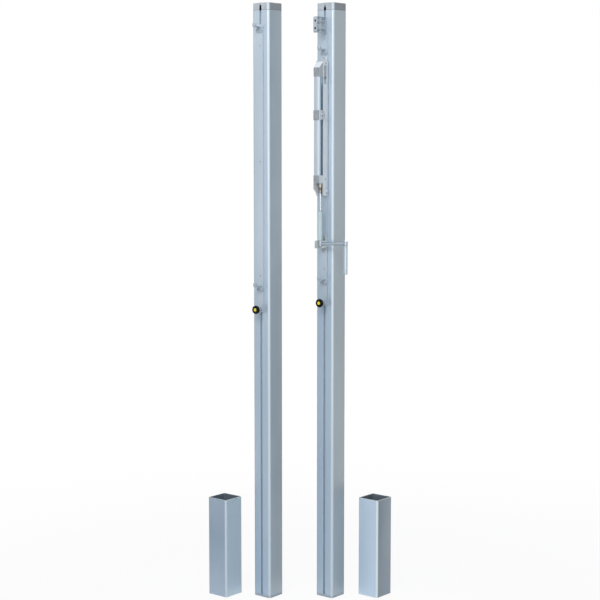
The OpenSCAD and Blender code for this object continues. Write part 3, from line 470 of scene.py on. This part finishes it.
def cap_look(post):
    """A moulded cap with a painted highlight on its corners, painted shade on its X faces, a painted
    shadow along the seam over the profile and painted shade in its deep keyhole.
    """
    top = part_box(post + "_profile")[1].z
    seam = {"Z": (top + SEAM_REACH[0], top + SEAM_REACH[1])}
    return moulded(
        post + "_cap_plastic", (0.41, 0.46, 0.51), (0.54, 0.59, 0.64), 0.45, side_light=(0.32, 0.355, 0.39),
        corner=(0.66, 0.75, 0.84), parts=((seam, SEAM_PAINTED_SHADOW), (slot_box(post), KEYHOLE_PAINTED_SHADE)),
    )


def knob_look(post):
    """A black lobed knob on a bright metal hub."""
    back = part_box(post + "_knob")[1].y
    hub = {"Y": (back - KNOB_HUB, back + KNOB_HUB)}
    look = moulded(
        post + "_knob_plastic", (0.003, 0.003, 0.004), (0.014, 0.014, 0.018), 0.6, 1200.0, 0.25,
        parts=((hub, KNOB_HUB_COLOR),),
    )
    return dull(look, specular=0.12)


anodised_fine = extruded("anodised_fine", (0.47, 0.56, 0.65), (0.74, 0.82, 0.90), 0.38, edge=0.0008)
# One aluminium for both sleeves, painted darker and lighter on their front and X faces as painted shade
# and painted light
sleeve_left = sleeve_look(
    "sleeve_left", (0.33, 0.435, 0.56), (0.66, 0.76, 0.86), (0.63, 0.77, 0.88), (0.46, 0.58, 0.72),
)
sleeve_right = sleeve_look(
    "sleeve_right", (0.64, 0.79, 0.95), (0.86, 0.94, 1.0), (0.27, 0.34, 0.41), (0.64, 0.80, 0.98),
)
# The channel's X faces and its inside are painted lighter, as painted light
channel_grey = extruded(
    "channel_grey", (0.48, 0.56, 0.63), (0.78, 0.84, 0.90), 0.40, edge=0.0008, side_light=(0.84, 0.90, 0.95),
    parts=((CHANNEL_INSIDE, CHANNEL_PAINTED_LIGHT),),
)
# The rail's X faces are painted a darker blue, partly its anodising and partly a painted reflection, and
# its corners get no painted shade
bright_rail = extruded(
    "bright_rail", (0.46, 0.55, 0.63), (0.74, 0.82, 0.90), 0.36, edge=0.0008, side_light=(0.24, 0.44, 0.62),
    shade=0.0,
)
brushed_plate = turned("brushed_plate", (0.46, 0.55, 0.63), (0.72, 0.80, 0.88), 0.42, 0.4, BRUSHED)
# The castings' X faces are painted lighter, as painted light
cast = blasted("cast", (0.34, 0.38, 0.42), (0.62, 0.67, 0.72), (0.52, 0.57, 0.62))
# The same cast painted lighter still on its X faces, as painted light for the bottom block and the
# carriage
cast_painted_light = blasted("cast_painted_light", (0.36, 0.40, 0.45), (0.66, 0.71, 0.78), (0.84, 0.90, 0.97))
# The clip's X faces are painted lighter, as painted light
clip_steel = blasted("clip_steel", (0.44, 0.49, 0.49), (0.68, 0.74, 0.74), (0.86, 0.92, 0.91))
handle_metal = turned("handle_metal", (0.54, 0.66, 0.74), (0.86, 0.92, 0.97), 0.33, 0.6, BRUSHED)
zinc = turned("zinc", (0.47, 0.53, 0.59), (0.74, 0.80, 0.86), 0.40, 0.5)
drawn_steel = turned("drawn_steel", (0.62, 0.66, 0.71), (0.88, 0.91, 0.95), 0.25, 0.8, DRAWN, 1500.0)
crank_steel = turned(
    "crank_steel", (0.55, 0.61, 0.68), (0.80, 0.86, 0.92), 0.25, 0.8, DRAWN, 1500.0,
    parts=((BAR_BALL, BAR_BROWN), (BAR_ARM, BAR_GREY)),
)
ball_steel = turned("ball_steel", BAR_BROWN, (0.70, 0.66, 0.60), 0.35, 0.6)
pin_black = turned("pin_black", (0.002, 0.002, 0.003), (0.006, 0.006, 0.008), 0.65, 0.0)
brass = turned("brass", (0.60, 0.55, 0.45), (0.84, 0.80, 0.70), 0.36, 0.6, GROOVED, 500.0)
# The foot's front right and back left corners carry a painted highlight
foot_plastic = moulded(
    "foot_plastic", (0.40, 0.48, 0.57), (0.52, 0.58, 0.64), 0.45, corner=(0.60, 0.69, 0.78),
)
grip_plastic = moulded("grip_plastic", (0.52, 0.67, 0.73), (0.64, 0.76, 0.82), 0.42, 800.0)
roller_plastic = moulded("roller_plastic", (0.42, 0.47, 0.53), (0.55, 0.60, 0.66), 0.50, 900.0, 0.1)
spacer_plastic = moulded("spacer_plastic", (0.48, 0.55, 0.62), (0.58, 0.65, 0.72), 0.50, 900.0, 0.1)
shoe_plastic = moulded("shoe_plastic", (0.02, 0.02, 0.022), (0.07, 0.07, 0.075))
yellow_plastic = moulded(
    "yellow_plastic", (0.95, 0.80, 0.01), (0.98, 0.88, 0.12), 0.45, 900.0, 0.1, edge=0.0006,
)
dull(yellow_plastic, specular=0.25)
dull(pin_black, specular=0.10)

NODE_LOOKS = {
    # Posts and sleeves
    "winch_profile": post_look("winch"), "plain_profile": post_look("plain"),
    "winch_cap": cap_look("winch"), "plain_cap": cap_look("plain"), "foot": foot_plastic,
    "sleeve_left": sleeve_left, "sleeve_left_floor": sleeve_left,
    "sleeve_right": sleeve_right, "sleeve_right_floor": sleeve_right,
    # Sliders with their clamps and hooks
    "slider_bar": anodised_fine, "guide_shoes": shoe_plastic, "shoe_screws": zinc, "clamp_nut": zinc,
    "hook_upper": brushed_plate, "hook_lower": brushed_plate, "hook_screws": zinc,
    "knob_washer": zinc, "knob_stud": zinc, "knob_cover": yellow_plastic,
    "winch_knob": knob_look("winch"), "plain_knob": knob_look("plain"),
    # Rope rollers
    "roller_bracket": brushed_plate, "roller_pins": pin_black, "roller_spacers": spacer_plastic,
    "roller_upper": roller_plastic, "roller_lower": roller_plastic,
    # Tensioner
    "tensioner_channel": channel_grey, "channel_screws": zinc, "guide_rail": bright_rail,
    "top_bearing_block": cast, "bottom_bearing_block": cast_painted_light, "block_screws": zinc,
    "thrust_washers": brass, "spindle": drawn_steel, "spindle_socket": brass, "spindle_nut": brass,
    "carriage": cast_painted_light, "rope_hook": zinc, "rope_hook_screws": zinc,
    # Crank and its clip
    "crank_ball": ball_steel, "crank_bar": crank_steel, "crank_collar": zinc,
    "crank_grip": grip_plastic, "crank_handle": handle_metal, "handle_cap": handle_metal,
    "crank_clip": clip_steel, "clip_rivets": clip_steel,
}


def look_of(name):
    """The look of a node. Both posts share one, unless it is given for a post by name."""
    if name in NODE_LOOKS:
        return NODE_LOOKS[name]
    return NODE_LOOKS[name.split("_", 1)[1]]


for name, obj in nodes.items():
    obj.data.materials.clear()
    obj.data.materials.append(look_of(name))


# Pieces

def mesh_piece(name, bm, material):
    """A flat shaded object from a finished bmesh."""
    mesh = bpy.data.meshes.new(name)
    bm.to_mesh(mesh)
    bm.free()
    for face in mesh.polygons:
        face.use_smooth = False
    mesh.materials.append(material)
    obj = bpy.data.objects.new(name, mesh)
    bpy.context.scene.collection.objects.link(obj)
    return obj


# Thread of the spindle, in metres. The profile gives shares of the lead and of the thread's depth
LEAD = 0.004
THREAD_DEPTH = 0.0018
THREAD_PROFILE = ((0.0, 0.0), (0.20, 0.0), (0.32, 1.0), (0.68, 1.0), (0.80, 0.0))
THREAD_SIDES = 28
CORE_SIDES = 40
CORE_GAP = 0.0001
WASHER_AND_GAP = 0.0043
LOW_COLLAR = 0.004
BOTH_COLLARS = 0.012
HIGH_COLLAR = 0.006
COLLAR_OVERLAP = 0.001
COLLAR_SLOPE = 0.0015
JOURNAL = 0.006
CHAMFER = 0.001


def ring_point(axis, radius, angle, z):
    return (axis.x + radius * math.cos(angle), axis.y + radius * math.sin(angle), z)


def thread_ridge(bm, axis, start, turns, root):
    """The flanks and crests of the thread, with both ends closed."""
    rows = []
    for i in range(turns * THREAD_SIDES + 1):
        angle = 2 * math.pi * i / THREAD_SIDES
        base = start + LEAD * i / THREAD_SIDES
        rows.append([
            bm.verts.new(ring_point(axis, root + depth * THREAD_DEPTH, angle, base + along * LEAD))
            for along, depth in THREAD_PROFILE
        ])
    for i in range(len(rows) - 1):
        for k in range(len(THREAD_PROFILE) - 1):
            bm.faces.new((rows[i][k], rows[i + 1][k], rows[i + 1][k + 1], rows[i][k + 1]))
        j = i + THREAD_SIDES
        if j + 1 < len(rows):
            bm.faces.new((rows[i][-1], rows[i + 1][-1], rows[j + 1][0], rows[j][0]))
    bm.faces.new(rows[0][1:])
    bm.faces.new(rows[-1][:0:-1])


def turned_core(bm, axis, outline):
    """A closed round bar from the heights and radii of its outline."""
    rings = []
    for z, radius in outline:
        count = CORE_SIDES if radius else 1
        rings.append([
            bm.verts.new(ring_point(axis, radius, 2 * math.pi * k / CORE_SIDES, z)) for k in range(count)
        ])
    for a, b in zip(rings, rings[1:]):
        for k in range(CORE_SIDES):
            n = (k + 1) % CORE_SIDES
            if len(a) == 1:
                bm.faces.new((a[0], b[n], b[k]))
            elif len(b) == 1:
                bm.faces.new((a[k], a[n], b[0]))
            else:
                bm.faces.new((a[k], a[n], b[n], b[k]))


def threaded_spindle():
    """The spindle with its trapezoidal thread, in place of the plain bar."""
    low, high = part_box("spindle")
    washer_low, washer_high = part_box("thrust_washers")
    axis = Vector(((low.x + high.x) / 2, (low.y + high.y) / 2, 0.0))
    shoulder_low = washer_low.z + WASHER_AND_GAP
    shoulder_high = washer_high.z - WASHER_AND_GAP
    crest = (high.x - low.x) / 2
    root = crest - THREAD_DEPTH
    core = root - CORE_GAP
    start = shoulder_low + LOW_COLLAR
    slope_low = start + COLLAR_OVERLAP
    slope_high = shoulder_high - HIGH_COLLAR
    outline = (
        (low.z, 0.0), (low.z, JOURNAL), (shoulder_low, JOURNAL), (shoulder_low, crest), (slope_low, crest),
        (slope_low + COLLAR_SLOPE, core), (slope_high - COLLAR_SLOPE, core), (slope_high, crest),
        (shoulder_high, crest), (shoulder_high, JOURNAL), (high.z - CHAMFER, JOURNAL),
        (high.z, JOURNAL - CHAMFER), (high.z, 0.0),
    )
    turns = int((shoulder_high - shoulder_low - BOTH_COLLARS) / LEAD)
    bm = bmesh.new()
    thread_ridge(bm, axis, start, turns, root)
    turned_core(bm, axis, outline)
    obj = mesh_piece("threaded_spindle", bm, drawn_steel)
    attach(obj, "tension_spindle")
    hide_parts("spindle")


threaded_spindle()


# Floor and background

WHITE_SHARE = 0.93
SHADOW_REACH = (1.2, 3.2)
FLOOR_COLOR = (0.86, 0.87, 0.88)
FLOOR_HALF = 12.0
FLOOR_TOP = -0.0006
SKY_COLOR = (0.96, 0.98, 1.0)
SKY_STRENGTH = 0.22


def floor_material():
    """White as the background shows, with a faint shadow that fades out away from the object."""
    mat = bpy.data.materials.new("floor")
    mat.use_nodes = True
    s = Nodes(mat.node_tree)
    s.tree.nodes.clear()
    diffuse = s.add("ShaderNodeBsdfDiffuse")
    diffuse.inputs["Color"].default_value = (*FLOOR_COLOR, 1.0)
    length = s.add("ShaderNodeVectorMath", operation="LENGTH")
    s.link(s.add("ShaderNodeTexCoord").outputs["Object"], length.inputs[0])
    fade = s.span(length.outputs["Value"], SHADOW_REACH, (WHITE_SHARE, 1.0))
    share = s.math("MULTIPLY", s.background_rays(), fade)
    white = s.light_source("ShaderNodeEmission", WHITE, 1.0)
    s.blend(share, diffuse.outputs[0], white, "ShaderNodeOutputMaterial")
    return mat


bm = bmesh.new()
bmesh.ops.create_grid(bm, x_segments=1, y_segments=1, size=FLOOR_HALF)
floor = mesh_piece("floor", bm, floor_material())
floor.location.z = FLOOR_TOP

world = bpy.data.worlds.new("studio")
bpy.context.scene.world = world
world.use_nodes = True
sky = Nodes(world.node_tree)
sky.tree.nodes.clear()
soft = sky.light_source("ShaderNodeBackground", SKY_COLOR, SKY_STRENGTH)
seen = sky.light_source("ShaderNodeBackground", WHITE, 1.0)
sky.blend(sky.background_rays(), soft, seen, "ShaderNodeOutputWorld")


# Lamps: name, place, width and height, watts, colour and the point that they are aimed at

LAMPS = (
    ("key", (0.7, -3.1, 4.4), (2.8, 1.8), 106.0, (1.0, 1.0, 1.0), (-0.1, -0.1, 2.6)),
    ("corner", (4.1, -3.9, 1.3), (1.8, 2.6), 44.0, (1.0, 0.99, 0.98), (-0.1, -0.1, 1.1)),
    ("back", (-3.6, 4.4, 3.4), (3.0, 3.0), 130.0, (0.97, 0.99, 1.0), (-0.1, -0.1, 1.4)),
)


def softbox(name, place, size, watts, color, aim):
    light = bpy.data.lights.new(name, "AREA")
    light.shape = "RECTANGLE"
    light.size, light.size_y = size
    light.energy = watts
    light.color = color
    obj = bpy.data.objects.new(name, light)
    obj.location = place
    obj.rotation_euler = (Vector(aim) - Vector(place)).to_track_quat("-Z", "Y").to_euler()
    bpy.context.scene.collection.objects.link(obj)


for lamp in LAMPS:
    softbox(*lamp)
